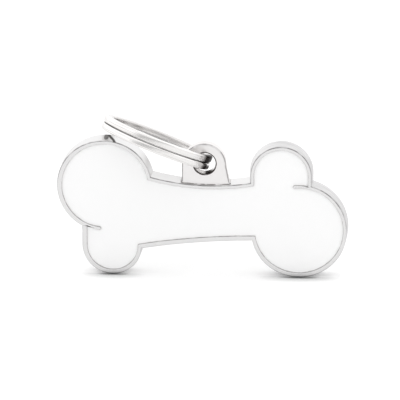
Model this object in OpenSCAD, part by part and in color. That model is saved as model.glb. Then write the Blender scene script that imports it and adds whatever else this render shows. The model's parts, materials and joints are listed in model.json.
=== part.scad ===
/* [Bone] */
// Width of the bone across its two big lobes
bone_w = 43; // [40:0.5:50]
// Height of the bone, from the edge it stands on to the top of its left big lobe
bone_h = 20.7; // [19.5:0.1:22.5]
// Thickness of the casting, front to back
bone_t = 2.9; // [2.2:0.1:3.6]
// Bevel along the outer edges, front and back
edge_bevel = 0.25; // [0.1:0.05:0.4]
// Diameter of the left big lobe
left_big_d = 14.24; // [13:0.02:16]
// Diameter of the right big lobe
right_big_d = 14.5; // [13:0.02:16]
// Diameter of the left small lobe
left_small_d = 9; // [8:0.1:10]
// Diameter of the right small lobe
right_small_d = 9.4; // [8:0.1:10]
// How far the left small lobe's centre lies inboard of the big lobe's
left_small_in = 1.05; // [0:0.05:2]
// How far the right small lobe's centre lies inboard of the big lobe's
right_small_in = 2.7; // [1.5:0.05:3.5]
// Height of the top of the right small lobe
right_small_top = 20.2; // [19:0.1:22]

/* [Shaft] */
// Length over which the shaft's edges are measured
shaft_l = 16; // [14:0.5:18]
// Height of the shaft's top edge at its left end
top_left_z = 15.38; // [15:0.02:16]
// Height of the shaft's top edge at its right end
top_right_z = 14.8; // [14.4:0.02:15.4]
// How far the top edge sags between its ends
top_bow = 0.93; // [0.5:0.01:1.2]
// Height of the shaft's bottom edge at its left end
bottom_left_z = 4.2; // [3.8:0.02:4.6]
// Height of the shaft's bottom edge at its right end
bottom_right_z = 5.56; // [5:0.02:6]
// How far the bottom edge rises between its ends
bottom_bow = 0.3; // [0.2:0.01:0.6]

/* [Rim and enamel] */
// Width of the rim round the enamel, bevel included
rim_w = 0.74; // [0.5:0.02:1]
// How far the rim stands proud of the enamel
rim_proud = 0.22; // [0.1:0.02:0.4]
// Thickness of the enamel
enamel_t = 0.5; // [0.3:0.05:0.8]
// Width of the two spurs that carry the big lobes' rims into the field
spur_w = 0.42; // [0.3:0.02:0.6]
// Length of each spur, from the small lobe's inner wall
spur_l = 2; // [1:0.1:2.8]
// Diameter of the round end of each spur
spur_end_d = 0.5; // [0.42:0.02:0.7]

/* [Lug] */
// Sideways place of the lug, from the middle of the bone
lug_x = 0.3; // [-1:0.1:1]
// Width of the lug and diameter of its domed top
lug_w = 6.6; // [6:0.1:7.4]
// Thickness of the lug, front to back
lug_t = 2; // [1.5:0.1:2.3]
// Height of the dome's centre
dome_z = 16.85; // [16.6:0.05:17.1]
// Height of the hole's centre
hole_z = 17.15; // [16.85:0.05:17.3]
// Diameter of the hole
hole_d = 3.5; // [3.3:0.05:4.2]
// Bevel round the hole's mouths and the lug's edges
lug_bevel = 0.2; // [0.1:0.05:0.3]

/* [Split ring] */
// Outer diameter of the ring
ring_d = 17; // [16:0.25:19]
// Width of the wire, measured along a radius
wire_w = 1.25; // [1.1:0.05:1.4]
// Height of the wire, measured along the ring's axis
wire_h = 1.04; // [0.9:0.01:1.1]
// Gap between the two turns
turn_gap = 0.06; // [0.04:0.01:0.1]
// Bevel along the wire's corners
wire_bevel = 0.2; // [0.1:0.05:0.3]
// Angle over which the wire steps from one turn to the other
step_angle = 20; // [16:1:28]
// Angle from the hole to the middle of the step
step_at = 40; // [30:1:60]
// Angle left open between each cut end and the step
end_gap_angle = 2; // [1:0.5:4]
// Roll of the ring about its long axis, front edge up
ring_roll = 12; // [8:1:15]
// Angle that the ring is fed round through the hole, which puts its middle behind the bone
ring_feed = 15; // [0:1:18]
// Gap between the resting ring and the lobe under it
rest_gap = 0.6; // [0.2:0.05:0.8]

/* [Hidden] */
$fn = 96;
// Facets of the wide, shallow circles that shape the shaft's edges
edge_fn = 720;
// Share of the step that slopes, between its level ends
step_share = 0.9;
// Angle by which each end of the step runs on into its turn
step_lap = 1;
// How far a cutter runs past what it cuts
overrun = 1;
left_big = [(left_big_d - bone_w) / 2, bone_h - left_big_d / 2];
right_big = [(bone_w - right_big_d) / 2, right_big_d / 2];
left_small = [left_big.x + left_small_in, left_small_d / 2];
right_small = [right_big.x - right_small_in, right_small_top - right_small_d / 2];
hole = [lug_x, hole_z];
dome = [lug_x, dome_z];
pocket_t = enamel_t + rim_proud;
ring_mid_r = (ring_d - wire_w) / 2;
ring_in_r = ring_d / 2 - wire_w;
ring_h = 2 * wire_h + turn_gap;

// Circle through two points that bows by a given height towards side 1 or -1, as [centre, radius]
function bowed(a, b, bow, side) =
    let(chord = norm(b - a))
    let(r = (chord * chord / 4 + bow * bow) / (2 * bow))
    let(normal = [a.y - b.y, b.x - a.x] / chord)
    [(a + b) / 2 + side * (r - bow) * normal, r];

top_edge = bowed([-shaft_l / 2, top_left_z], [shaft_l / 2, top_right_z], top_bow, 1);
bottom_edge = bowed([-shaft_l / 2, bottom_left_z], [shaft_l / 2, bottom_right_z], bottom_bow, -1);

// The ring rests on the lobe's back edge with the inner lower corner of its far arc.
// Seen from the hole, that corner lies corner_r away and corner_dip below the ring's long axis.
corner_y = (bone_t / 2 - edge_bevel + ring_h / 2 * sin(ring_roll)) / cos(ring_roll);
feed_x = ring_mid_r * cos(ring_feed);
feed_y = ring_mid_r * sin(ring_feed);
corner_x = feed_x + sqrt(ring_in_r * ring_in_r - (corner_y - feed_y) * (corner_y - feed_y));
corner_z = corner_y * sin(ring_roll) + ring_h / 2 * cos(ring_roll);
corner_r = norm([corner_x, corner_z]);
corner_dip = atan2(corner_z, corner_x);
lobe_r = norm(hole - left_big);
lobe_dip = atan2(hole.y - left_big.y, hole.x - left_big.x);
touch_r = left_big_d / 2 + rest_gap;
touch_angle = acos((lobe_r * lobe_r + corner_r * corner_r - touch_r * touch_r) / (2 * lobe_r * corner_r));
ring_tilt = touch_angle + corner_dip - lobe_dip;

// How far the ring's middle lies behind the bone's. The bone stands this far forward, so that the middle
// of the whole object's box is at y = 0.
ring_back = feed_y * cos(ring_roll);

// Stands a drawing made in X and Z upright, from y = 0 towards the back
module upright(depth) {
    translate([0, depth, 0])
        rotate([90, 0, 0])
            linear_extrude(depth)
                children();
}

// Round plate of a given thickness with bevelled rims, its axis along Y
module bevelled_disc(at, r, t, bevel) {
    translate([at.x, 0, at.y])
        rotate([90, 0, 0])
            rotate_extrude()
                polygon([
                    [0, -t / 2],
                    [r - bevel, -t / 2],
                    [r, bevel - t / 2],
                    [r, t / 2 - bevel],
                    [r - bevel, t / 2],
                    [0, t / 2],
                ]);
}

// Straight-sided plate with bevelled sides, from one height to another
module bevelled_post(x, r, t, bevel, z_low, z_high) {
    translate([x, 0, z_low])
        linear_extrude(z_high - z_low)
            polygon([
                [bevel - r, -t / 2],
                [r - bevel, -t / 2],
                [r, bevel - t / 2],
                [r, t / 2 - bevel],
                [r - bevel, t / 2],
                [bevel - r, t / 2],
                [-r, t / 2 - bevel],
                [-r, bevel - t / 2],
            ]);
}

// Cutter that leaves a hollow edge with a bevel at each face
module edge_cutter(edge) {
    flare = edge_bevel + overrun;
    reach = bone_t / 2 + overrun;
    straight = bone_t / 2 - edge_bevel;
    translate([edge[0].x, 0, edge[0].y])
        rotate([90, 0, 0])
            rotate_extrude($fn = edge_fn)
                polygon([
                    [0, -reach],
                    [edge[1] + flare, -reach],
                    [edge[1], -straight],
                    [edge[1], straight],
                    [edge[1] + flare, reach],
                    [0, reach],
                ]);
}

module plate() {
    bevelled_disc(left_big, left_big_d / 2, bone_t, edge_bevel);
    bevelled_disc(right_big, right_big_d / 2, bone_t, edge_bevel);
    bevelled_disc(left_small, left_small_d / 2, bone_t, edge_bevel);
    bevelled_disc(right_small, right_small_d / 2, bone_t, edge_bevel);
    bevelled_post(left_small.x, left_small_d / 2, bone_t, edge_bevel, left_small.y, left_big.y);
    bevelled_post(right_small.x, right_small_d / 2, bone_t, edge_bevel, right_big.y, right_small.y);
    difference() {
        translate([left_big.x, -bone_t / 2, 0])
            cube([right_small.x - left_big.x, bone_t, bone_h]);
        edge_cutter(top_edge);
        edge_cutter(bottom_edge);
    }
}

module lug() {
    bevelled_disc(dome, lug_w / 2, lug_t, lug_bevel);
    bevelled_post(dome.x, lug_w / 2, lug_t, lug_bevel, (bottom_left_z + top_left_z) / 2, dome.y);
}

// Cutter for the lug's hole, with a bevel at each mouth
module hole_cutter() {
    r = hole_d / 2;
    flare = lug_bevel + overrun;
    reach = lug_t / 2 + overrun;
    straight = lug_t / 2 - lug_bevel;
    translate([hole.x, 0, hole.y])
        rotate([90, 0, 0])
            rotate_extrude()
                polygon([
                    [0, -reach],
                    [r + flare, -reach],
                    [r, -straight],
                    [r, straight],
                    [r + flare, reach],
                    [0, reach],
                ]);
}

module disc_outline(at, r) {
    translate(at)
        circle(r);
}

// Outline of the field inside the rim, before the spurs are taken out
module field_outline() {
    disc_outline(left_big, left_big_d / 2 - rim_w);
    disc_outline(right_big, right_big_d / 2 - rim_w);
    disc_outline(left_small, left_small_d / 2 - rim_w);
    disc_outline(right_small, right_small_d / 2 - rim_w);
    translate([left_small.x - left_small_d / 2 + rim_w, left_small.y])
        square([left_small_d - 2 * rim_w, left_big.y - left_small.y]);
    translate([right_small.x - right_small_d / 2 + rim_w, right_big.y])
        square([right_small_d - 2 * rim_w, right_small.y - right_big.y]);
    difference() {
        translate([left_big.x, 0])
            square([right_small.x - left_big.x, bone_h]);
        disc_outline(top_edge[0], top_edge[1] + rim_w, $fn = edge_fn);
        disc_outline(bottom_edge[0], bottom_edge[1] + rim_w, $fn = edge_fn);
    }
}

// Strip that follows a big lobe's rim from an angle for a given length, with a round end
module spur(lobe, lobe_d, start, length) {
    inner = lobe_d / 2 - rim_w;
    middle = inner + spur_w / 2;
    sweep = length / middle * 180 / PI;
    far = lobe_d;
    translate(lobe) {
        intersection() {
            difference() {
                circle(inner + spur_w);
                circle(inner);
            }
            rotate(start)
                polygon([
                    [0, 0],
                    far * [cos(-sweep), sin(-sweep)],
                    far * [1, 0],
                    far * [cos(sweep), sin(sweep)],
                ]);
        }
        rotate(start + sweep)
            translate([middle, 0])
                circle(spur_end_d / 2);
    }
}

// Angle at which a big lobe's rim meets a small lobe's inner wall, from the X axis
function wall_angle(lobe, lobe_d, wall_x) = acos((wall_x - lobe.x) / (lobe_d / 2 - rim_w));

module spurs() {
    right_wall = right_small.x + right_small_d / 2 - rim_w;
    left_wall = left_small.x - left_small_d / 2 + rim_w;
    spur(right_big, right_big_d, wall_angle(right_big, right_big_d, right_wall), spur_l);
    spur(left_big, left_big_d, -wall_angle(left_big, left_big_d, left_wall), spur_l);
}

module field(depth, recess) {
    translate([0, recess - bone_t / 2, 0])
        upright(depth)
            difference() {
                field_outline();
                spurs();
            }
}

module tag_body() {
    color("silver")
        translate([0, -ring_back, 0])
            difference() {
                union() {
                    plate();
                    lug();
                }
                translate([0, -overrun, 0])
                    field(pocket_t + overrun, 0);
                hole_cutter();
            }
}

module enamel_fill() {
    color("white")
        translate([0, -ring_back, 0])
            field(enamel_t, rim_proud);
}

// Bevelled cross-section of a given height, at the ring's middle radius
module wire_outline(z, height) {
    w = wire_w / 2;
    h = height / 2;
    translate([ring_mid_r, z])
        polygon([
            [wire_bevel - w, -h],
            [w - wire_bevel, -h],
            [w, wire_bevel - h],
            [w, h - wire_bevel],
            [w - wire_bevel, h],
            [wire_bevel - w, h],
            [-w, h - wire_bevel],
            [-w, wire_bevel - h],
        ]);
}

module turn(z, from, sweep) {
    rotate_extrude(angle = sweep, start = from)
        wire_outline(z, wire_h);
}

// The stretch of wire that slopes from the upper turn, turn_z up, to the lower, turn_z down
module wire_step(turn_z) {
    slope = step_share * ring_in_r * sin(step_angle / 2);
    reach = ring_mid_r;
    high = turn_z + wire_h / 2;
    inner = turn_z - wire_h / 2;
    intersection() {
        rotate_extrude(angle = step_angle + 2 * step_lap, start = -step_angle / 2 - step_lap)
            wire_outline(0, ring_h);
        rotate([90, 0, 90])
            linear_extrude(ring_d)
                polygon([
                    [-reach, high],
                    [-slope, high],
                    [slope, -inner],
                    [reach, -inner],
                    [reach, -high],
                    [slope, -high],
                    [-slope, inner],
                    [-reach, inner],
                ]);
    }
}

// Two turns of one wire, with the step at angle zero: the upper runs round to it, and the lower goes on from it
module wound_ring() {
    turn_z = (wire_h + turn_gap) / 2;
    sweep = 360 - step_angle - end_gap_angle;
    turn(turn_z, step_angle / 2 + end_gap_angle, sweep);
    turn(-turn_z, step_angle / 2, sweep);
    wire_step(turn_z);
}

module split_ring() {
    color("gainsboro")
        translate([hole.x, -ring_back, hole.y])
            rotate([0, ring_tilt, 0])
                rotate([-ring_roll, 0, 0])
                    translate([-feed_x, feed_y, 0])
                        rotate(step_at - ring_feed)
                            wound_ring();
}

tag_body();
enamel_fill();
split_ring();
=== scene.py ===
import json
import math

import bpy
import numpy as np
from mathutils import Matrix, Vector


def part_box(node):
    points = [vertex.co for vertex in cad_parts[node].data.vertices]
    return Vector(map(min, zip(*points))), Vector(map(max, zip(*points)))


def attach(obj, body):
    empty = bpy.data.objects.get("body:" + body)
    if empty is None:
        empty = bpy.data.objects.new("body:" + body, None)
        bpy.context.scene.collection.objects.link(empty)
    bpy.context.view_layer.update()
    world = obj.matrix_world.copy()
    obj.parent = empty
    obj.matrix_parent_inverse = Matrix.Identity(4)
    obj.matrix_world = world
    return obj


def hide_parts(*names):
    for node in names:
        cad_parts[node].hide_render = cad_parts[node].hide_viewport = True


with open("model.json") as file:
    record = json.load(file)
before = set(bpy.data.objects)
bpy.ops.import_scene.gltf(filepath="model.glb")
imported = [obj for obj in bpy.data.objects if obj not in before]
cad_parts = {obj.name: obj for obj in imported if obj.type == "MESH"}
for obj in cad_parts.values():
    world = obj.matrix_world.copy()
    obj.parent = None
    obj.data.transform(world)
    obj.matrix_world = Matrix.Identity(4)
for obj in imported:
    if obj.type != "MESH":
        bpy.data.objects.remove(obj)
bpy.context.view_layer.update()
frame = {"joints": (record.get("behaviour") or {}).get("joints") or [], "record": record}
print("stage: frame loaded")

mm = 0.001
tagLow, tagHigh = (np.array(corner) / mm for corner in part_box("tag_body"))
joint = frame["joints"][0]
collar = next(m for m in frame["record"]["mounts"] if m["name"] == "collar_ring")
hole = np.array(joint["pos_m"]) / mm


# a closed surface from a grid: rows of points, each row a closed loop of the same number of points; the last
# row joins the first where it is wrapped, and otherwise both are capped; marks are values that the materials
# read, given per row or per point
def shell(name, rows, marks, wrapped=False):
    count, width = rows.shape[:2]
    used = count if wrapped else count - 1
    a = np.arange(used)[:, None] * width + np.arange(width)[None, :]
    right = np.roll(a, -1, axis=1)
    below = (a + width) % (count * width)
    quads = np.stack([a, right, np.roll(below, -1, axis=1), below], axis=-1).reshape(-1, 4)
    points = rows.reshape(-1, 3) * mm
    # six times the volume, from the quads and caps as fans; its sign says which way they face
    volume = sixVolume(points, quads)
    caps = []
    if not wrapped:
        caps = [np.arange(width)[::-1], np.arange(width) + (count - 1) * width]
        for cap in caps:
            volume += np.einsum("ij,ij->", points[cap], np.cross(points[np.roll(cap, -1)],
                                np.broadcast_to(points[cap[0]], (width, 3))))
    if volume < 0:
        quads = quads[:, ::-1]
        caps = [cap[::-1] for cap in caps]
    mesh = bpy.data.meshes.new(name)
    mesh.from_pydata(points.tolist(), [], quads.tolist() + [cap.tolist() for cap in caps])
    mesh.shade_smooth()
    for kind, values in marks.items():
        if values.ndim == 3:
            mesh.attributes.new(kind, "FLOAT_VECTOR", "POINT").data.foreach_set("vector", values.ravel())
        else:
            perPoint = np.broadcast_to(values, (count, width)).ravel()
            mesh.attributes.new(kind, "FLOAT", "POINT").data.foreach_set("value", perPoint)
    piece = bpy.data.objects.new(name, mesh)
    bpy.context.scene.collection.objects.link(piece)
    return piece


# six times the volume between the quads and the origin: each quad as two triangles, a . (b x c) for each
def sixVolume(points, quads):
    a, b, c, d = (points[quads[:, i]] for i in range(4))
    return np.einsum("ij,ij->", a, np.cross(b, c)) + np.einsum("ij,ij->", a, np.cross(c, d))


# the bone's outline, in millimetres; lobes are circles, x to the right and z up
bone = {
    "leftBigR": 7.12,
    "rightBigR": 7.25,
    "leftSmallR": 4.5,
    "rightSmallR": 4.7,
    "leftSmallIn": 1.05,      # how far a small lobe's centre lies inboard of the big one's
    "rightSmallIn": 2.7,
    "rightSmallTop": 20.2,
    "shaftHalf": 8.0,         # half the length over which the shaft's edges are measured
    "topLeft": 15.38,
    "topRight": 14.8,
    "topBow": 0.93,
    "bottomLeft": 4.2,
    "bottomRight": 5.56,
    "bottomBow": 0.3,
    "crotchR": 0.16,          # small radius left in each crotch
}

# points along each stretch of the outline
counts = {
    "leftBig": 180,
    "leftWall": 12,
    "leftSmall": 100,
    "bottom": 70,
    "rightBig": 180,
    "rightWall": 8,
    "rightSmall": 90,
    "shaftWall": 6,
    "top": 80,
    "crotch": 8,
    "spur": (22, 14, 20, 8),  # out along a spur, round its end, back, and round the fillet at the wall
}

rim = {
    "width": 0.74,
    "edgeR": 0.16,            # rounding of the outer edges
    "draft": 0.2,             # how far the sides lean in from the back to the front
    "lipR": 0.1,              # rounding of the edge towards the enamel
    "hold": 0.03,             # narrow flat beside a rounding, which keeps the flats flat
    "pocket": 0.72,           # depth of the pocket behind the rim's face
    "steps": 7,               # rows in each rounding
    "sideShares": (0.04, 0.5, 0.96),      # where the rows of the sides lie, from the back to the front
    "rearRows": 2,            # rows at the back that are brushed
    "spurHalf": 0.21,
    "spurEndR": 0.25,
    "spurLength": 2.0,
    "edgeLinePower": 0.6,         # less than 1 spreads the wear and the painted dark edge reflection over more of a rounding
    "lipEdgeLine": 0.6,           # wear and painted dark edge reflection of the edge towards the enamel, as a share of the outer edges'
    "lipShadeAndGrime": 0.85,         # painted shade and grime where that edge's rounding ends, at the top of the pocket's wall
    "facingUpShift": 0.35,        # wear and painted dark reflection of an edge: how far it faces up, plus this,
    "facingUpRange": 0.9,         # over this,
    "facingUpLeast": 0.12,        # and never less than this
    "greyFrom": 7.0,          # x from which the sides turn grey
    "greyOver": 4.0,          # and the length over which they do
}


# circle through (-h, left) and (h, right) that bows by a height towards side 1 or -1
def bowed(left, right, bow, side):
    a, b = np.array([-bone["shaftHalf"], left]), np.array([bone["shaftHalf"], right])
    chord = np.linalg.norm(b - a)
    r = (chord ** 2 / 4 + bow ** 2) / (2 * bow)
    normal = np.array([a[1] - b[1], b[0] - a[0]]) / chord
    return (a + b) / 2 + side * (r - bow) * normal, r


leftBig = np.array([tagLow[0] + bone["leftBigR"], tagHigh[2] - bone["leftBigR"]])
rightBig = np.array([tagHigh[0] - bone["rightBigR"], tagLow[2] + bone["rightBigR"]])
leftSmall = np.array([leftBig[0] + bone["leftSmallIn"], tagLow[2] + bone["leftSmallR"]])
rightSmall = np.array([rightBig[0] - bone["rightSmallIn"], bone["rightSmallTop"] - bone["rightSmallR"]])
topEdge, topR = bowed(bone["topLeft"], bone["topRight"], bone["topBow"], 1)
bottomEdge, bottomR = bowed(bone["bottomLeft"], bone["bottomRight"], bone["bottomBow"], -1)


# where two circles cross, on the side of the line between their centres that side picks
def cross(c1, r1, c2, r2, side):
    d = np.linalg.norm(c2 - c1)
    along = (d ** 2 + r1 ** 2 - r2 ** 2) / (2 * d)
    off = math.sqrt(r1 ** 2 - along ** 2)
    u = (c2 - c1) / d
    return c1 + along * u + side * off * np.array([-u[1], u[0]])


# points on a circle from one angle to another, the end left out
def arc(c, r, start, end, count):
    t = start + (end - start) * np.arange(count) / count
    return np.stack([c[0] + r * np.cos(t), c[1] + r * np.sin(t)], axis=1)


def angleOf(v):
    return math.atan2(v[1], v[0])


# the arc of a fillet round its centre, from the side that faces one point to the side that faces another
def fillet(c, r, fromPoint, toPoint, turn, count):
    start, end = angleOf(fromPoint - c), angleOf(toPoint - c)
    while turn * (end - start) < 0:
        end += turn * 2 * math.pi
    return arc(c, r, start, end, count)


# a spur at one inset: out along the big lobe's circle, round its end, back, and a fillet into the wall;
# inward is 1 where the bone's middle lies to the right
def spurPoints(lobe, lobeR, wallX, inward, inset):
    outCount, endCount, backCount, turnCount = counts["spur"]
    shrink = rim["width"] - inset
    inner = lobeR - rim["width"]
    middle = inner + rim["spurHalf"]
    up = 1 if lobe is rightBig else -1
    root = up * math.acos((wallX(rim["width"]) - lobe[0]) / inner)
    tip = root + rim["spurLength"] / middle

    # half the spur's width, which grows towards its end as a smooth step
    def half(t):
        blend = t * t * (3 - 2 * t)
        return rim["spurHalf"] + (rim["spurEndR"] - rim["spurHalf"]) * blend - shrink

    out = np.arange(outCount) / outCount
    angle = root + (tip - root) * out
    r = middle - half(out)
    going = lobe + np.stack([r * np.cos(angle), r * np.sin(angle)], axis=1)
    end = lobe + middle * np.array([math.cos(tip), math.sin(tip)])
    cap = arc(end, rim["spurEndR"] - shrink, tip + math.pi, tip, endCount)
    filletR = bone["crotchR"]
    side = middle + rim["spurHalf"] - shrink
    x = wallX(inset) + inward * filletR
    reach = side + filletR
    centre = np.array([x, lobe[1] + up * math.sqrt(reach ** 2 - (x - lobe[0]) ** 2)])
    stop = angleOf(centre - lobe)
    back = np.arange(backCount) / backCount
    angle = tip + (stop - tip) * back
    t = np.clip((angle - root) / (tip - root), 0, 1)
    r = middle + half(t)
    coming = lobe + np.stack([r * np.cos(angle), r * np.sin(angle)], axis=1)
    turn = fillet(centre, filletR, lobe, centre - np.array([inward, 0.0]), 1, turnCount)
    return root, np.concatenate([going, cap, coming, turn]), centre[1]


# the bone's outline at an inset from its outer edge, as one loop of points, with the spurs or without
def outline(inset, spurred):
    f, around = bone["crotchR"], counts["crotch"]
    leftWall = lambda d: leftSmall[0] - bone["leftSmallR"] + d
    rightWall = lambda d: rightSmall[0] + bone["rightSmallR"] - d
    shaftWall = rightSmall[0] - bone["rightSmallR"] + inset
    lb, rb = bone["leftBigR"] - inset, bone["rightBigR"] - inset
    ls, rs = bone["leftSmallR"] - inset, bone["rightSmallR"] - inset
    top, bottom = topR + inset, bottomR + inset
    # centres of the small fillets in the crotches
    a = cross(leftBig, lb + f, topEdge, top - f, -1)
    c = cross(leftSmall, ls + f, bottomEdge, bottom - f, 1)
    d = cross(rightBig, rb + f, bottomEdge, bottom - f, -1)
    fx = shaftWall - f
    fz = topEdge[1] - math.sqrt((top - f) ** 2 - (fx - topEdge[0]) ** 2)
    e = np.array([fx, fz])
    if spurred:
        leftEnd, leftSpur, leftZ = spurPoints(leftBig, bone["leftBigR"], leftWall, 1, inset)
        rightEnd, rightSpur, rightZ = spurPoints(rightBig, bone["rightBigR"], rightWall, -1, inset)
    else:
        x = leftWall(inset) - f
        b = np.array([x, leftBig[1] - math.sqrt((lb + f) ** 2 - (x - leftBig[0]) ** 2)])
        leftEnd, leftZ = angleOf(b - leftBig), b[1]
        leftSpur = fillet(b, f, leftBig, b + np.array([f, 0.0]), -1, sum(counts["spur"]))
        x = rightWall(inset) + f
        g = np.array([x, rightBig[1] + math.sqrt((rb + f) ** 2 - (x - rightBig[0]) ** 2)])
        rightEnd, rightZ = angleOf(g - rightBig), g[1]
        rightSpur = fillet(g, f, rightBig, g - np.array([f, 0.0]), -1, sum(counts["spur"]))
    turn = 2 * math.pi
    wall = lambda x, z1, z2, n: np.stack([np.full(n, x), z1 + (z2 - z1) * np.arange(n) / n], axis=1)
    return np.concatenate([
        arc(leftBig, lb, angleOf(a - leftBig), leftEnd % turn, counts["leftBig"]),
        leftSpur,
        wall(leftWall(inset), leftZ, leftSmall[1], counts["leftWall"]),
        arc(leftSmall, ls, math.pi, (angleOf(c - leftSmall) - math.pi) % turn + math.pi, counts["leftSmall"]),
        fillet(c, f, leftSmall, 2 * c - bottomEdge, -1, around),
        arc(bottomEdge, bottom, angleOf(c - bottomEdge), angleOf(d - bottomEdge), counts["bottom"]),
        fillet(d, f, 2 * d - bottomEdge, rightBig, -1, around),
        arc(rightBig, rb, angleOf(d - rightBig) % turn, rightEnd + turn, counts["rightBig"]),
        rightSpur,
        wall(rightWall(inset), rightZ, rightSmall[1], counts["rightWall"]),
        arc(rightSmall, rs, 0, math.pi, counts["rightSmall"]),
        wall(shaftWall, rightSmall[1], fz, counts["shaftWall"]),
        fillet(e, f, e + np.array([f, 0.0]), 2 * e - topEdge, -1, around),
        arc(topEdge, top, angleOf(e - topEdge), angleOf(a - topEdge), counts["top"]),
        fillet(a, f, 2 * a - topEdge, leftBig, -1, around),
    ])


# one row of the casting or the enamel: the outline at an inset, all at one depth y
def level(inset, y, spurred=False):
    flat = outline(inset, spurred)
    return np.stack([flat[:, 0], np.full(len(flat), y), flat[:, 1]], axis=1)


# how far each point of an outline faces right and up, each from -1 to 1: the line between its neighbours,
# turned by a quarter
def facing(rows):
    along = np.roll(rows, -1, axis=-2) - np.roll(rows, 1, axis=-2)
    length = np.maximum(np.hypot(along[..., 0], along[..., 2]), 1e-6)
    return along[..., 2] / length, -along[..., 0] / length


# a row that also stands in by a share of the mould's draft, which fades where the side faces down, and in the
# left half also where it faces left
def drafted(inset, y, share):
    plain, drawn = level(inset, y), level(inset + rim["draft"] * share, y)
    right, up = facing(plain)
    weight = np.clip(1 + up, 0, 1) * np.where(plain[:, 0] < 0, np.clip(1 + right, 0, 1), 1)
    return plain + (drawn - plain) * weight[:, None]


# the casting, from the edge of its back round the sides to its face and down into the pocket: each row is
# the outline at one inset and depth, and a rounding of radius r is a quarter circle, r(1 - sin) inwards and
# r(1 - cos) along the depth
def makePlate():
    front, back = tagLow[1], tagHigh[1]
    r, lip, hold, n = rim["edgeR"], rim["lipR"], rim["hold"], rim["steps"]
    t = np.linspace(0, math.pi / 2, n)
    sides = np.zeros(len(rim["sideShares"]))
    outer = 2 * n + len(sides) + 2          # rows before the ones round the enamel
    # how worn each row is, and how dark its painted edge reflection: most in the middle of each rounding
    line = np.sin(2 * t).clip(0) ** rim["edgeLinePower"]
    wornAndEdgeReflection = [0, *line, *sides, *line, 0, 0, *(rim["lipEdgeLine"] * line), 0]
    # how far each row lies down in the corner against the enamel, which takes painted shade and polish
    # residue
    cornerShadeAndGrime = [0] * (outer + 1) + [*np.linspace(0, rim["lipShadeAndGrime"], n), 1]
    rows = [level(r + hold, back)]
    rows += [level(r * (1 - math.sin(k)), back - r * (1 - math.cos(k))) for k in t]
    rows += [drafted(0, back - r - (back - front - 2 * r) * k, k) for k in rim["sideShares"]]
    rows += [drafted(r * (1 - math.cos(k)), front + r * (1 - math.sin(k)), 1) for k in t]
    rows += [drafted(r + hold, front, 1)]
    edge = rim["width"]
    rows += [level(edge - lip - hold, front, True)]
    rows += [level(edge - lip * (1 - math.sin(k)), front + lip * (1 - math.cos(k)), True) for k in t]
    rows += [level(edge, front + rim["pocket"], True)]
    rows = np.array(rows)
    # the painted dark reflection and the wear lie on the edges that face up: outer edges at the top, inner
    # edges at the bottom
    up = facing(rows)[1]
    up[outer:] *= -1
    upper = np.clip((up + rim["facingUpShift"]) / rim["facingUpRange"], rim["facingUpLeast"], 1)
    # the sides are left as cast, duller than the polished front
    dull = np.array([0, *np.sin(t[::-1]), *(sides + 1), *np.cos(t)] + [0] * (n + 3))[:, None]
    # and the sides of the right lobes are the greyest
    grey = dull * np.clip((rows[..., 0] - rim["greyFrom"]) / rim["greyOver"], 0, 1)
    rear = (np.arange(len(rows)) < rim["rearRows"])[:, None] * 1.0
    return shell("plateCasting", rows, {
        "wornAndEdgeReflection": np.array(wornAndEdgeReflection)[:, None] * upper,
        "cornerShadeAndGrime": np.array(cornerShadeAndGrime)[:, None],
        "dull": dull,
        "grey": grey,
        "rear": rear,
    })


enamel = {
    "below": 0.22,            # how far the enamel lies behind the rim's face
    "climb": 0.07,            # how far its edge climbs the rim
    "climbWidth": 0.1,        # distance over which the climb fades
    "keyed": 0.02,            # how far its side is keyed into the rim
    "bands": (0.0, 0.03, 0.07, 0.12, 0.18, 0.26, 0.36, 0.48),     # distances from the rim to its rows
}


# the enamel, from under its edge up its side and in over its face, which climbs the rim by an exponential
# of the distance from it
def makeEnamel():
    face = tagLow[1] + enamel["below"]
    floor = tagLow[1] + rim["pocket"]
    edge = rim["width"]
    rows = [level(edge - enamel["keyed"], floor + enamel["keyed"], True)]
    rows += [level(edge - enamel["keyed"], face, True)]
    # the painted shade and residue at the edge against the rim fade by the same exponential
    cornerShadeAndGrime = [1, 1, *(math.exp(-band / enamel["climbWidth"]) for band in enamel["bands"])]
    for band in enamel["bands"]:
        climb = enamel["climb"] * math.exp(-band / enamel["climbWidth"])
        rows.append(level(edge + band, face - climb, True))
    return shell("whiteEnamel", np.array(rows), {"cornerShadeAndGrime": np.array(cornerShadeAndGrime)[:, None]})


# height of the shaft's top edge at x
def shaftTop(x):
    return topEdge[1] - np.sqrt(topR ** 2 - (x - topEdge[0]) ** 2)


# how far a fillet of radius f stands out at each height over its foot: the gap beside a quarter circle
def flared(f, above):
    return f - np.sqrt(np.maximum(f ** 2 - np.clip(f - above, 0, f) ** 2, 0))


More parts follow.
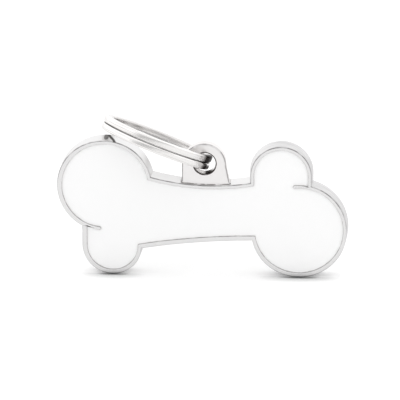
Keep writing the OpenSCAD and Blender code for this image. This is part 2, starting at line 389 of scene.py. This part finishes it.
lug = {
    "domeZ": 16.85,           # height of the dome's centre, a little below the hole's
    "domeR": 3.3,
    "leftHalf": 3.34,
    "rightHalf": 3.12,
    "rightSlope": 0.19,       # how far the right side leans out, per millimetre down
    "half": 1.0,              # half the thickness
    "holeR": 1.61,
    "mouthR": 0.16,
    "edgeR": 0.26,
    "footR": 0.3,             # fillet at the foot, left and right
    "footFrontR": 0.15,       # the same, front and back
    "buried": 0.38,           # how far the foot runs into the plate
    "footShadeAndGrime": 0.12,        # height over which the painted shade and grime at the foot fade
    "around": 240,
    "steps": 7,
    "faceShares": (0, 0.25, 0.5, 0.65, 0.75, 0.82, 0.88, 0.93, 0.97, 1),   # rows from the hole to the edge
    "faceHold": 0.03,         # narrow flat beside a rounding, on the faces
    "wallHold": 0.05,         # and on the walls
    "leastCosine": 0.05,      # keeps the sides' reach finite straight above and below the hole
    "cutSine": -0.2,          # below this the outline ends in the plate
    "cutRounds": 6,           # rounds that find where it does
    "besideHalf": 6.0,        # how far along the plate its top edge counts for the foot
    "flareFrom": 0.5,         # the foot's side fillets start at this cosine
    "flareRise": 4,           # and grow this fast
    # painted shade and grime in the bore and at its mouth
    "boreShadeAndGrime": 0.2,
    "mouthShadeAndGrime": 1.2,
    "boreDull": -0.9,         # the bore is smoother than the face
}


# the lug as a ring of sections round its hole: from the middle of the bore out over the front face to the
# middle of the outer wall, and back over the rear face; an angle of the section gives its sides, straight
# lines at a distance over the cosine, and its dome, a circle blended into them by the sine squared
def makeLug():
    t = np.linspace(-math.pi, math.pi, lug["around"], endpoint=False)
    c, s = np.cos(t), np.sin(t)
    right = lug["rightHalf"] / np.maximum(c + lug["rightSlope"] * s, lug["leastCosine"])
    left = lug["leftHalf"] / np.maximum(-c, lug["leastCosine"])
    side = np.where(c > 0, right, left)
    blend = (1 - c) / 2
    dome = (1 - blend) * lug["rightHalf"] + blend * lug["leftHalf"]
    dome = dome + (lug["domeR"] - dome) * np.sin(np.clip(t, 0, math.pi)) ** 2
    reach = np.where(s > 0, dome, side)
    low = lug["cutSine"]
    for _ in range(lug["cutRounds"]):
        floor = shaftTop(hole[0] + reach * c) - lug["buried"]
        reach = np.where(s < low, np.minimum(side, (floor - lug["domeZ"]) / np.minimum(s, low)), reach)
    k = np.linspace(0, math.pi / 2, lug["steps"])
    mouth, edge, half, bore = lug["mouthR"], lug["edgeR"], lug["half"], lug["holeR"]
    # each section is (share of the way out, radius round the hole, inset from the outline, depth), from
    # the middle of the bore to the middle of the outer wall
    front = [(0, bore, 0, 0.0), (0, bore, 0, half - mouth - lug["wallHold"])]
    front += [(0, bore + mouth * (1 - math.cos(a)), 0, half - mouth * (1 - math.sin(a))) for a in k]
    flat, inset = bore + mouth + lug["faceHold"], edge + lug["faceHold"]
    front += [(share, flat, inset, half) for share in lug["faceShares"]]
    front += [(1, flat, edge * (1 - math.sin(a)), half - edge * (1 - math.cos(a))) for a in k]
    front += [(1, flat, 0, half - edge - lug["wallHold"])]
    rear = [(share, r, inset, -depth) for share, r, inset, depth in front[:0:-1]]
    rows, wornAndEdgeReflection, cornerShadeAndGrime, dull = [], [], [], []
    aside = np.clip((np.abs(c) - lug["flareFrom"]) * lug["flareRise"], 0, 1)
    for share, r, inset, depth in front + [(1, flat, 0, 0.0)] + rear:
        x = hole[0] + ((1 - share) * r + share * (reach - inset)) * c
        z = (1 - share) * (hole[2] + r * s) + share * (lug["domeZ"] + (reach - inset) * s)
        # height over the plate's top edge, which the draft lowers towards the front
        down = np.clip((tagHigh[1] - hole[1] + depth) / (tagHigh[1] - tagLow[1]), 0, 1) * rim["draft"]
        above = z - shaftTop(np.clip(x, -lug["besideHalf"], lug["besideHalf"])) + down
        x = x + np.sign(c) * flared(lug["footR"], above) * share * aside
        y = hole[1] - depth * (1 + flared(lug["footFrontR"], above) / half)
        rows.append(np.stack([x, y, z], axis=1))
        # the bore is bright and polished with a little painted shade, its mouth takes painted shade and grime
        inside = share == 0 and r == bore
        inBore = lug["boreShadeAndGrime"] * inside + lug["mouthShadeAndGrime"] * (share == 0 and bore < r < flat)
        cornerShadeAndGrime.append(np.maximum(inBore, np.exp(-np.maximum(above, 0) / lug["footShadeAndGrime"]) * (share > 0)))
        # wear and painted dark edge reflection: 1 in the middle of the outer rounding and 0 at its ends, as a
        # parabola
        rounding = 4 * max(0, half - abs(depth)) * (edge - half + abs(depth)) / edge ** 2
        wornAndEdgeReflection.append(np.full(len(t), max(0, rounding)))
        wall = share * min(1, (half - abs(depth)) / edge)
        dull.append(np.full(len(t), lug["boreDull"] if inside else wall))
    marks = {"wornAndEdgeReflection": np.array(wornAndEdgeReflection), "cornerShadeAndGrime": np.array(cornerShadeAndGrime), "dull": np.array(dull)}
    return shell("lugCasting", np.array(rows), marks, wrapped=True)


ring = {
    "middleR": 7.875,
    "wireHalfWidth": 0.625,
    "wireHalfHeight": 0.52,
    "turnGap": 0.06,
    "roundness": 4.6,         # power of the wire's section: 2 is an ellipse, more is squarer
    "stepAt": 40.0,           # degrees from the hole to the middle of the step
    "stepAngle": 20.0,
    "endGap": 2.0,            # degrees left open at each cut end
    "endRound": 0.16,         # rounding of the cut ends
    "holeShadeReach": 2.2,      # how far the painted dark reflection and shade spreads along the wire from the lug
    "perTurn": 300,
    "around": 56,
    "endRows": (0.0, 0.15, 0.35, 0.6, 0.9, 1.3),      # degrees from a cut end to its rows
    "gapPower": 14,           # more makes the painted shade line between the turns narrower
    "holeShadePower": 4,        # more ends the painted shade along the wire more sharply
    "upperHoleShade": 0.7,      # how far the upper turn's painted shade reaches inwards
    "lowerOut": (2.0, -0.4),  # the lower turn's: its rise outwards and where it starts,
    "lowerUp": (-1.5, 0.8),   # and the same upwards
}


# the wire's path: two turns at one radius, and the drop from one to the other a smooth step,
# 6x^5 - 15x^4 + 10x^3; its section: a superellipse, cosine and sine each raised to a power, their sign kept
def makeRing():
    centre = np.array(collar["pos_m"]) / mm
    e1 = (centre - hole) / np.linalg.norm(centre - hole)
    e3 = np.array(collar["axis"]) - np.dot(collar["axis"], e1) * e1
    e3 /= np.linalg.norm(e3)
    e2 = np.cross(e3, e1)
    # the hole lies at angle zero, seen from the ring's centre
    half, gap = ring["stepAngle"] / 2, ring["endGap"]
    start, end = math.radians(half + gap), math.radians(720 - half - gap)
    # rows crowd together at both ends, where the wire's cut ends are rounded
    lead = np.radians(ring["endRows"])
    angle = np.linspace(start, end, 2 * ring["perTurn"])[2:-2]
    angle = np.concatenate([start + lead, angle, end - lead[::-1]])
    drop = np.clip((angle - math.radians(360 - half)) / math.radians(2 * half), 0, 1)
    drop = drop ** 3 * (10 - 15 * drop + 6 * drop ** 2)
    rise = ring["wireHalfHeight"] + ring["turnGap"] / 2
    height = rise * (1 - 2 * drop)
    # how far each row's outline stands back, from its distance to the cut
    fromEnd = np.minimum(angle - start, end - angle) * ring["middleR"]
    shy = flared(ring["endRound"], fromEnd)
    t = np.linspace(0, 2 * math.pi, ring["around"], endpoint=False)
    power = 2 / ring["roundness"]
    u = np.sign(np.cos(t)) * np.abs(np.cos(t)) ** power
    v = np.sign(np.sin(t)) * np.abs(np.sin(t)) ** power
    r = ring["middleR"] + (ring["wireHalfWidth"] - shy[:, None]) * u
    z = height[:, None] + (ring["wireHalfHeight"] - shy[:, None]) * v
    turned = angle[:, None] + math.radians(ring["stepAt"])
    rows = centre + z[..., None] * e3
    rows = rows - (r * np.cos(turned))[..., None] * e1 - (r * np.sin(turned))[..., None] * e2
    # the wire's own coordinates in millimetres, along it, across it and up, for marks that follow it
    along = np.broadcast_to((angle * ring["middleR"])[:, None], r.shape)
    own = np.stack([along, r - ring["middleR"], z - height[:, None]], axis=-1)
    # 1 on the side that faces the other turn, which takes painted shade in the gap between the turns
    towards = np.where(angle < 2 * math.pi, -1, 1)[:, None] * v[None, :]
    # painted dark reflection and shade on the outer side where the wire sits in the lug
    fromHole = (np.degrees(turned) + 180) % 360 - 180
    fade = np.exp(-(np.radians(fromHole) * ring["middleR"] / ring["holeShadeReach"]) ** ring["holeShadePower"])
    (outSlope, outStart), (upSlope, upStart) = ring["lowerOut"], ring["lowerUp"]
    lower = np.clip(outSlope * u + outStart, 0, 1) * np.clip(upSlope * v + upStart, 0, 1)
    upper = np.clip(u + ring["upperHoleShade"], 0, 1)
    return shell("splitRing", rows, {
        "own": own,
        "between": np.clip(towards, 0, 1) ** ring["gapPower"],
        "holeShade": fade * np.where((angle > 2 * math.pi)[:, None], lower, upper),
        "wornAndEdgeReflection": (np.abs(u) * np.abs(v))[None, :] ** 2,
    })


plate = makePlate()
whitePlate = makeEnamel()
lugPiece = makeLug()
ringPiece = makeRing()
print("stage: plate, enamel, lug and ring modelled")


# small helpers for the materials' nodes
def newMaterial(name):
    material = bpy.data.materials.new(name)
    material.use_nodes = True
    return material, material.node_tree.nodes, material.node_tree.links


def dress(piece, material, body, slot, *nodes):
    piece.data.materials.clear()
    piece.data.materials.append(material)
    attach(piece, body)
    if nodes:
        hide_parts(*nodes)


# a node with its fixed inputs set and its sockets linked, in one call; i0, i1 ... name an input by its place
def node(material, kind, settings=None, **inputs):
    made = material.node_tree.nodes.new(kind)
    for name, value in (settings or {}).items():
        setattr(made, name, value)
    for name, value in inputs.items():
        socket = made.inputs[int(name[1:])] if name[1:].isdigit() else made.inputs[name.replace("_", " ")]
        if isinstance(value, bpy.types.NodeSocket):
            material.node_tree.links.new(value, socket)
        else:
            socket.default_value = value
    return made


# arithmetic on values and sockets, and further down the same on vectors
def sums(material, operation, a, b, c=0.0, clamp=False):
    settings = {"operation": operation, "use_clamp": clamp}
    return node(material, "ShaderNodeMath", settings, i0=a, i1=b, i2=c).outputs[0]


# a value taken from one range to another by a smooth step
def spread(material, value, low, high, toLow, toHigh):
    return node(material, "ShaderNodeMapRange", {"interpolation_type": "SMOOTHSTEP"}, Value=value,
                From_Min=low, From_Max=high, To_Min=toLow, To_Max=toHigh).outputs["Result"]


# one of the values that a mesh carries per point
def mark(material, name):
    return node(material, "ShaderNodeAttribute", {"attribute_name": name}).outputs["Fac"]


def noise(material, vector, scale, detail, roughness=0.5):
    return node(material, "ShaderNodeTexNoise", None, Vector=vector, Scale=scale, Detail=detail,
                Roughness=roughness).outputs["Fac"]


def stretched(material, vector, factors):
    return node(material, "ShaderNodeMapping", None, Vector=vector, Scale=factors).outputs["Vector"]


# object coordinates in millimetres, stretched by three factors
def inMillimetres(material, factors=(1, 1, 1)):
    place = node(material, "ShaderNodeTexCoord").outputs["Object"]
    return stretched(material, place, tuple(k / mm for k in factors))


# one of a vector's three parts
def partOf(material, vector, axis):
    return node(material, "ShaderNodeSeparateXYZ", None, Vector=vector).outputs[axis]


def vectors(material, operation, a, b=(0, 0, 0)):
    return node(material, "ShaderNodeVectorMath", {"operation": operation}, i0=a, i1=b).outputs


# colour a, with a share of colour b
def blended(material, share, a, b):
    made = node(material, "ShaderNodeMix", {"data_type": "RGBA"})
    links = material.node_tree.links
    for socket, value in ((made.inputs["Factor"], share), (made.inputs[6], a), (made.inputs[7], b)):
        if isinstance(value, bpy.types.NodeSocket):
            links.new(value, socket)
        else:
            socket.default_value = (*value, 1) if isinstance(value, tuple) else value
    return made.outputs[2]


finish = {
    "nickel": (0.765, 0.76, 0.76),
    "nickelRough": 0.12,
    "lugNickel": (0.85, 0.835, 0.83),
    "lugRough": 0.32,
    "ripple": 0.03,                       # millimetres
    "sideNickel": (0.54, 0.535, 0.54),
    # the casting's painted dark edge reflection
    "edgeReflectionColour": (0.15, 0.14, 0.145),
    "steelAndInnerShade": (0.42, 0.405, 0.40),    # the wire's darker steel: its drawn lines, and painted shade on the side that faces in
    # the casting's painted shade and grime in the corners
    "grimeAndShade": (0.045, 0.032, 0.026),
    "wire": (0.87, 0.855, 0.845),
    "wireRough": 0.2,
    # painted shade in the gap between the turns and where the wire sits in the lug
    "wireShade": (0.02, 0.014, 0.012),
    "enamel": (0.962, 0.962, 0.962),
    "enamelEdge": (0.80, 0.79, 0.775),
}


# the ring's painted contact shadow and reflection on the left big lobe's top, x and y in millimetres
ringShadow = {
    "from": (-14.1, tagHigh[1]),
    "to": (-12.85, tagLow[1]),
    "half": 0.24,             # half its width,
    "core": 0.5,              # of which this share is fully dark,
    "fade": 1.5,              # and which fades out at this share
    "waves": (1.3, 2),        # scale and detail of its unevenness
    "wavy": 0.3,              # and how far it strays
    "endCore": 0.46,          # shares of its length, from its middle, between which it ends
    "endFade": 0.54,
    "shadePatch": (-14.25, tagHigh[1] - 1.2),
    "shadePatchR": 0.42,
    "shadePatchCore": 0.75,
    "shadePatchDark": 0.75,
    "shadePatchStretch": 3.6,     # how many times longer the dark patch is than wide
    "reach": (0.5, 0.35),     # depths under the top between which the painted shade ends
    "colour": (0.012, 0.009, 0.007),
}


# the ring's painted contact shadow and reflection on the lobe's top: a dark line, which is how near a point
# is to a plane through it, cut off beyond a sphere round its middle, and a dark patch round a point
def paintedRingShadow(material, place):
    (x1, y1), (x2, y2) = ringShadow["from"], ringShadow["to"]
    length = math.hypot(x2 - x1, y2 - y1)
    across = ((y1 - y2) / length, (x2 - x1) / length, 0)
    off = vectors(material, "SUBTRACT", place, ((x1 + x2) / 2, (y1 + y2) / 2, tagHigh[2]))["Vector"]
    far = vectors(material, "LENGTH", off)["Value"]
    aside = vectors(material, "DOT_PRODUCT", off, across)["Value"]
    waves = noise(material, place, *ringShadow["waves"])
    wavy = sums(material, "MULTIPLY_ADD", waves, ringShadow["wavy"], -ringShadow["wavy"] / 2)
    line = spread(material, sums(material, "ABSOLUTE", sums(material, "ADD", aside, wavy), 0.0),
                  ringShadow["half"] * ringShadow["core"], ringShadow["half"] * ringShadow["fade"], 1, 0)
    ends = spread(material, far, length * ringShadow["endCore"], length * ringShadow["endFade"], 1, 0)
    line = sums(material, "MULTIPLY", line, ends)
    off = vectors(material, "SUBTRACT", place, (*ringShadow["shadePatch"], tagHigh[2]))["Vector"]
    squeezed = vectors(material, "MULTIPLY", off, (1, 1 / ringShadow["shadePatchStretch"], 1))["Vector"]
    shadePatch = spread(material, vectors(material, "LENGTH", squeezed)["Value"],
                    ringShadow["shadePatchR"] * ringShadow["shadePatchCore"], ringShadow["shadePatchR"], ringShadow["shadePatchDark"], 0)
    low, high = (tagHigh[2] - depth for depth in ringShadow["reach"])
    onTop = spread(material, partOf(material, place, "Z"), low, high, 0, 1)
    return sums(material, "MULTIPLY", sums(material, "MAXIMUM", line, shadePatch), onTop)


# each noise is its scale per millimetre, its detail and its roughness; each spread is the range of a noise
# and what it becomes at both ends
casting = {
    "slow": (0.55, 2),
    "fine": (3.2, 4, 0.65),
    "fineStretch": (1, 1, 6),
    "speck": (9, 2),
    "residue": (1.4, 3),
    "drawn": (1.2, 3, 0.6),
    "drawnStretch": (0.3, 4, 0.3),
    "brushed": (1.0, 4, 0.65),
    "brushedStretch": (0.12, 1, 6),
    "wearAndReflectionSpread": (0.36, 0.56, 0.4, 1),
    "residueSpread": (0.3, 0.6, 0.55, 1),
    "drawnSpread": (0.35, 0.6, 0.35, 1),
    "brushedSpread": (0.42, 0.66, 0, 0.3),
    "shadeAndGrimeSpread": (0.25, 0.95, 0, 0.92),
    "speckSpread": (0.7, 0.78, 0, 1),
    "greySide": 0.75,         # how far the grey sides take the duller metal
    "dullSide": 0.07,         # and the other sides
    "edgeReflectionDark": 0.85,
    "fineRough": 0.09,        # what each adds to the roughness
    "wearRough": 0.12,
    "dullRough": 0.24,
    "grimeRough": 0.3,
    "rearRough": 0.3,
    "fineDepth": 0.06,        # what each adds to the relief
    "speckDepth": -0.05,
}


# plated casting: a slow ripple from the mould, fine polishing lines, edges worn rougher with a painted dark
# reflection on them, and painted shade and grime in the corners
def castingFinish(name, colour, roughness, ripple):
    material, nodes, links = newMaterial(name)
    shader = nodes["Principled BSDF"]
    place = inMillimetres(material)
    slow = noise(material, place, *casting["slow"])
    fine = noise(material, inMillimetres(material, casting["fineStretch"]), *casting["fine"])
    speck = noise(material, place, *casting["speck"])
    dull = mark(material, "dull")
    # wear and painted dark edge reflection, broken by the slow noise
    wearAndEdgeReflection = sums(material, "MULTIPLY", mark(material, "wornAndEdgeReflection"), spread(material, slow, *casting["wearAndReflectionSpread"]))
    # painted shade and grime in the corners, broken by the residue noise
    residue = spread(material, noise(material, place, *casting["residue"]), *casting["residueSpread"])
    shadeAndGrimeMask = sums(material, "MULTIPLY", mark(material, "cornerShadeAndGrime"), residue, clamp=True)
    # lines that the mould's polishing has left along the sides, in a duller metal
    drawn = noise(material, inMillimetres(material, casting["drawnStretch"]), *casting["drawn"])
    satin = sums(material, "MULTIPLY_ADD", mark(material, "grey"), casting["greySide"],
                 sums(material, "MULTIPLY", dull, casting["dullSide"]))
    satin = sums(material, "MULTIPLY", satin, spread(material, drawn, *casting["drawnSpread"]), clamp=True)
    metal = blended(material, satin, colour, finish["sideNickel"])
    # and finer ones along the bone's length on its back
    brushed = noise(material, inMillimetres(material, casting["brushedStretch"]), *casting["brushed"])
    rear = sums(material, "MULTIPLY", mark(material, "rear"),
                spread(material, brushed, *casting["brushedSpread"]))
    metal = blended(material, rear, metal, finish["sideNickel"])
    # the painted dark reflection along the edges
    wornAndEdgeReflection = sums(material, "MULTIPLY", wearAndEdgeReflection, casting["edgeReflectionDark"])
    metal = blended(material, wornAndEdgeReflection, metal, finish["edgeReflectionColour"])
    metal = blended(material, spread(material, shadeAndGrimeMask, *casting["shadeAndGrimeSpread"]), metal, finish["grimeAndShade"])
    # the ring's painted contact shadow and reflection on the left big lobe
    metal = blended(material, paintedRingShadow(material, place), metal, ringShadow["colour"])
    links.new(metal, shader.inputs["Base Color"])
    shader.inputs["Metallic"].default_value = 1
    uneven = sums(material, "MULTIPLY_ADD", fine, casting["fineRough"], roughness - casting["fineRough"] / 2)
    for share, kind in ((wearAndEdgeReflection, "wearRough"), (dull, "dullRough"), (shadeAndGrimeMask, "grimeRough"), (rear, "rearRough")):
        uneven = sums(material, "MULTIPLY_ADD", share, casting[kind], uneven)
    links.new(uneven, shader.inputs["Roughness"])
    relief = sums(material, "MULTIPLY_ADD", fine, casting["fineDepth"], slow)
    relief = sums(material, "MULTIPLY_ADD", spread(material, speck, *casting["speckSpread"]),
                  casting["speckDepth"], relief)
    bump = node(material, "ShaderNodeBump", None, Height=relief, Strength=1.0, Distance=ripple * mm)
    links.new(bump.outputs["Normal"], shader.inputs["Normal"])
    return material


wire = {
    "drawn": (1.0, 4, 0.6),
    "drawnStretch": (0.12, 7, 7),
    "patches": (1.0, 3),
    "patchStretch": (0.5, 1.2, 1.2),
    "wearAndReflectionSpread": (0.4, 0.65, 0, 1),
    "lineSpread": (0.5, 0.66, 0, 0.4),
    "holeShadeSpread": (0.3, 0.42, 0.6, 1.5),
    "insideShade": 0.36,
    "gapDark": 0.75,
    "patchRough": 0.1,        # what each adds to the roughness
    "wearRough": 0.1,
    "holeShadeRough": 0.3,
    "lineDepth": 0.012,       # millimetres
}


# drawn wire: fine lines along it, painted shade in the gap between its turns and on its inner side, a painted
# dark reflection where it sits in the lug, soft wear along its corners
def wireFinish(name, roughness):
    material, nodes, links = newMaterial(name)
    shader = nodes["Principled BSDF"]
    own = node(material, "ShaderNodeAttribute", {"attribute_name": "own"}).outputs["Vector"]
    lines = noise(material, stretched(material, own, wire["drawnStretch"]), *wire["drawn"])
    patches = noise(material, stretched(material, own, wire["patchStretch"]), *wire["patches"])
    wearAndEdgeReflection = sums(material, "MULTIPLY", mark(material, "wornAndEdgeReflection"), spread(material, patches, *wire["wearAndReflectionSpread"]))
    # the side that faces in is painted darker, as painted shade
    inside = spread(material, partOf(material, own, "Y"), 0, -ring["wireHalfWidth"], 0, wire["insideShade"])
    linesAndInnerShade = sums(material, "MAXIMUM", inside, spread(material, lines, *wire["lineSpread"]))
    metal = blended(material, linesAndInnerShade, finish["wire"], finish["steelAndInnerShade"])
    # painted shade in the gap between the turns
    between = sums(material, "MULTIPLY", mark(material, "between"), wire["gapDark"])
    metal = blended(material, between, metal, finish["wireShade"])
    # painted dark reflection and shade where the wire sits in the lug
    holeShade = sums(material, "MULTIPLY", mark(material, "holeShade"),
                   spread(material, patches, *wire["holeShadeSpread"]), clamp=True)
    metal = blended(material, holeShade, metal, finish["wireShade"])
    links.new(metal, shader.inputs["Base Color"])
    shader.inputs["Metallic"].default_value = 1
    uneven = sums(material, "MULTIPLY_ADD", patches, wire["patchRough"], roughness - wire["patchRough"] / 2)
    uneven = sums(material, "MULTIPLY_ADD", wearAndEdgeReflection, wire["wearRough"], uneven)
    uneven = sums(material, "MULTIPLY_ADD", holeShade, wire["holeShadeRough"], uneven)
    links.new(uneven, shader.inputs["Roughness"])
    bump = node(material, "ShaderNodeBump", None, Height=lines, Strength=1.0, Distance=wire["lineDepth"] * mm)
    links.new(bump.outputs["Normal"], shader.inputs["Normal"])
    return material


white = {
    "flow": (0.22, 2),
    "flowDepth": 0.03,        # millimetres
    "residue": (1.1, 3),
    "residueSpread": (0.35, 0.65, 0.3, 0.9),
    "gloss": (2.5, 3),
    "glossRange": 0.08,       # how far the roughness varies,
    "glossLeast": 0.07,       # and its least
}


# enamel: glossy and level, with a slight flow ripple and a line of painted shade and polish residue at its
# edge against the rim
def enamelFinish(name):
    material, nodes, links = newMaterial(name)
    shader = nodes["Principled BSDF"]
    place = inMillimetres(material)
    flow = noise(material, place, *white["flow"])
    residue = spread(material, noise(material, place, *white["residue"]), *white["residueSpread"])
    # painted shade and polish residue along the edge
    dull = sums(material, "MULTIPLY", mark(material, "cornerShadeAndGrime"), residue)
    links.new(blended(material, dull, finish["enamel"], finish["enamelEdge"]), shader.inputs["Base Color"])
    gloss = noise(material, place, *white["gloss"])
    links.new(sums(material, "MULTIPLY_ADD", gloss, white["glossRange"], white["glossLeast"]),
              shader.inputs["Roughness"])
    bump = node(material, "ShaderNodeBump", None, Height=flow, Strength=1.0, Distance=white["flowDepth"] * mm)
    links.new(bump.outputs["Normal"], shader.inputs["Normal"])
    return material


castMetal = castingFinish("polishedNickel", finish["nickel"], finish["nickelRough"], finish["ripple"])
lugMetal = castingFinish("satinNickelLug", finish["lugNickel"], finish["lugRough"], finish["ripple"])
wireMetal = wireFinish("nickelWire", finish["wireRough"])
enamelWhite = enamelFinish("whiteEnamel")

dress(plate, castMetal, "tag", "plated_casting", "tag_body")
dress(lugPiece, lugMetal, "tag", "plated_casting")
dress(whitePlate, enamelWhite, "tag", "enamel", "enamel_fill")
dress(ringPiece, wireMetal, "ring", "ring_wire", "split_ring")
print("stage: materials on")

studio = {
    "azimuth": 3.6,           # degrees, the camera stands a little to the right
    "elevation": 17.0,
    "distance": 450.0,
    "sensor": 36.0,
    "frameWidth": 59.08,      # width of the view at the object
    "aim": (-0.444, hole[1], 11.261),
    "floor": 4.0,             # metres
    "floorTone": 0.85,
    "liftSeen": 0.18,         # added to the floor where the camera sees it
    "liftMirrored": 0.02,     # added where metal mirrors it
    "contact": ((0.7, 1.6), (2.6, 0.6)),   # each contact shade's reach in millimetres, and its power
    "contactSamples": 8,
    "lookBack": (0.0, 0.97, 0.24),         # direction in which the floor looks for what shades it
    "shadeRange": (-3.5, -3.0),            # y before which the shade is full, and behind which there is none
    "horizon": 0.9,           # the tent's level at the horizon
    "zenith": 1.32,           # and overhead
    "riseRange": (0.2, 0.85),              # sines of the height between which it rises
    # the front wall that gloss mirrors: its level at each sine of the height, darkest at the camera's height
    "front": ((0.0, 1.0), (0.17, 0.95), (0.22, 0.45), (0.34, 0.45), (0.4, 1.0), (0.6, 1.0)),
    "frontRange": (-0.5, -0.85),           # the wall fades in as a direction points further forward
    "back": 1.22,             # what gloss mirrors everywhere else
}

azimuth, elevation = math.radians(studio["azimuth"]), math.radians(studio["elevation"])
toCamera = np.array([math.sin(azimuth) * math.cos(elevation),
                     -math.cos(azimuth) * math.cos(elevation), math.sin(elevation)])


def makeCamera():
    data = bpy.data.cameras.new("camera")
    data.sensor_width = studio["sensor"]
    data.lens = data.sensor_width * studio["distance"] / studio["frameWidth"]
    camera = bpy.data.objects.new("camera", data)
    bpy.context.scene.collection.objects.link(camera)
    camera.location = (np.array(studio["aim"]) + toCamera * studio["distance"]) * mm
    camera.rotation_mode = "QUATERNION"
    camera.rotation_quaternion = Vector(-toCamera).to_track_quat("-Z", "Y")
    bpy.context.scene.camera = camera


def makeFloor():
    half = studio["floor"] / 2
    corners = [(-half, -half, 0), (half, -half, 0), (half, half, 0), (-half, half, 0)]
    mesh = bpy.data.meshes.new("floor")
    mesh.from_pydata(corners, [], [(0, 1, 2, 3)])
    floor = bpy.data.objects.new("floor", mesh)
    bpy.context.scene.collection.objects.link(floor)
    material, nodes, _ = newMaterial("paleFloor")
    nodes.clear()
    # the shade at a contact: a dark core and a wider, weaker halo, which fall in front of the feet because
    # the floor looks backwards for what stands in the light's way
    x, y, z = studio["lookBack"]
    backwards = node(material, "ShaderNodeCombineXYZ", None, X=x, Y=y, Z=z).outputs["Vector"]
    shade = 1.0
    for reach, power in studio["contact"]:
        seen = node(material, "ShaderNodeAmbientOcclusion", {"samples": studio["contactSamples"]},
                    Distance=reach * mm, Normal=backwards).outputs["AO"]
        shade = sums(material, "MULTIPLY", shade, sums(material, "POWER", seen, power))
    behind = spread(material, partOf(material, inMillimetres(material), "Y"), *studio["shadeRange"], 0, 1)
    shade = sums(material, "MAXIMUM", shade, behind)
    rays = node(material, "ShaderNodeLightPath").outputs
    mirrored = sums(material, "MAXIMUM", rays["Is Glossy Ray"], rays["Is Transmission Ray"])
    lift = sums(material, "MULTIPLY", rays["Is Camera Ray"], studio["liftSeen"])
    lift = sums(material, "MULTIPLY_ADD", mirrored, studio["liftMirrored"], lift)
    tone = sums(material, "MULTIPLY", shade, studio["floorTone"])
    colour = node(material, "ShaderNodeCombineColor", None, Red=tone, Green=tone, Blue=tone).outputs["Color"]
    diffuse = node(material, "ShaderNodeBsdfDiffuse", None, Color=colour).outputs["BSDF"]
    strength = sums(material, "MULTIPLY", lift, shade)
    glow = node(material, "ShaderNodeEmission", None, Strength=strength).outputs["Emission"]
    both = node(material, "ShaderNodeAddShader", None, i0=diffuse, i1=glow).outputs["Shader"]
    node(material, "ShaderNodeOutputMaterial", None, Surface=both)
    mesh.materials.append(material)


def makeWorld():
    world = bpy.data.worlds.new("tent")
    bpy.context.scene.world = world
    world.use_nodes = True
    world.node_tree.nodes.clear()
    rays = node(world, "ShaderNodeLightPath").outputs
    direction = node(world, "ShaderNodeTexCoord").outputs["Generated"]
    height, depth = (partOf(world, direction, axis) for axis in "ZY")
    rise = spread(world, height, *studio["riseRange"], studio["horizon"], studio["zenith"])
    # the front wall's levels over its height; the ramp starts with two stops of its own
    wall = node(world, "ShaderNodeValToRGB", None, Fac=height)
    stops = wall.color_ramp.elements
    for i, (sine, brightness) in enumerate(studio["front"]):
        stop = stops[i] if i < 2 else stops.new(sine)
        stop.position = sine
        stop.color = (brightness, brightness, brightness, 1)
    front = spread(world, depth, *studio["frontRange"], 0, 1)
    mirrored = node(world, "ShaderNodeMix", None, Factor=front, A=studio["back"], B=wall.outputs["Color"])
    chosen = node(world, "ShaderNodeMix", None, Factor=rays["Is Glossy Ray"], A=rise,
                  B=mirrored.outputs["Result"])
    strength = sums(world, "MAXIMUM", chosen.outputs["Result"], rays["Is Camera Ray"])
    tent = node(world, "ShaderNodeBackground", None, Color=(1, 1, 1, 1), Strength=strength)
    node(world, "ShaderNodeOutputWorld", None, Surface=tent.outputs["Background"])


makeCamera()
makeFloor()
makeWorld()
bpy.context.scene.view_settings.view_transform = "Standard"
print("stage: camera, floor and light set")
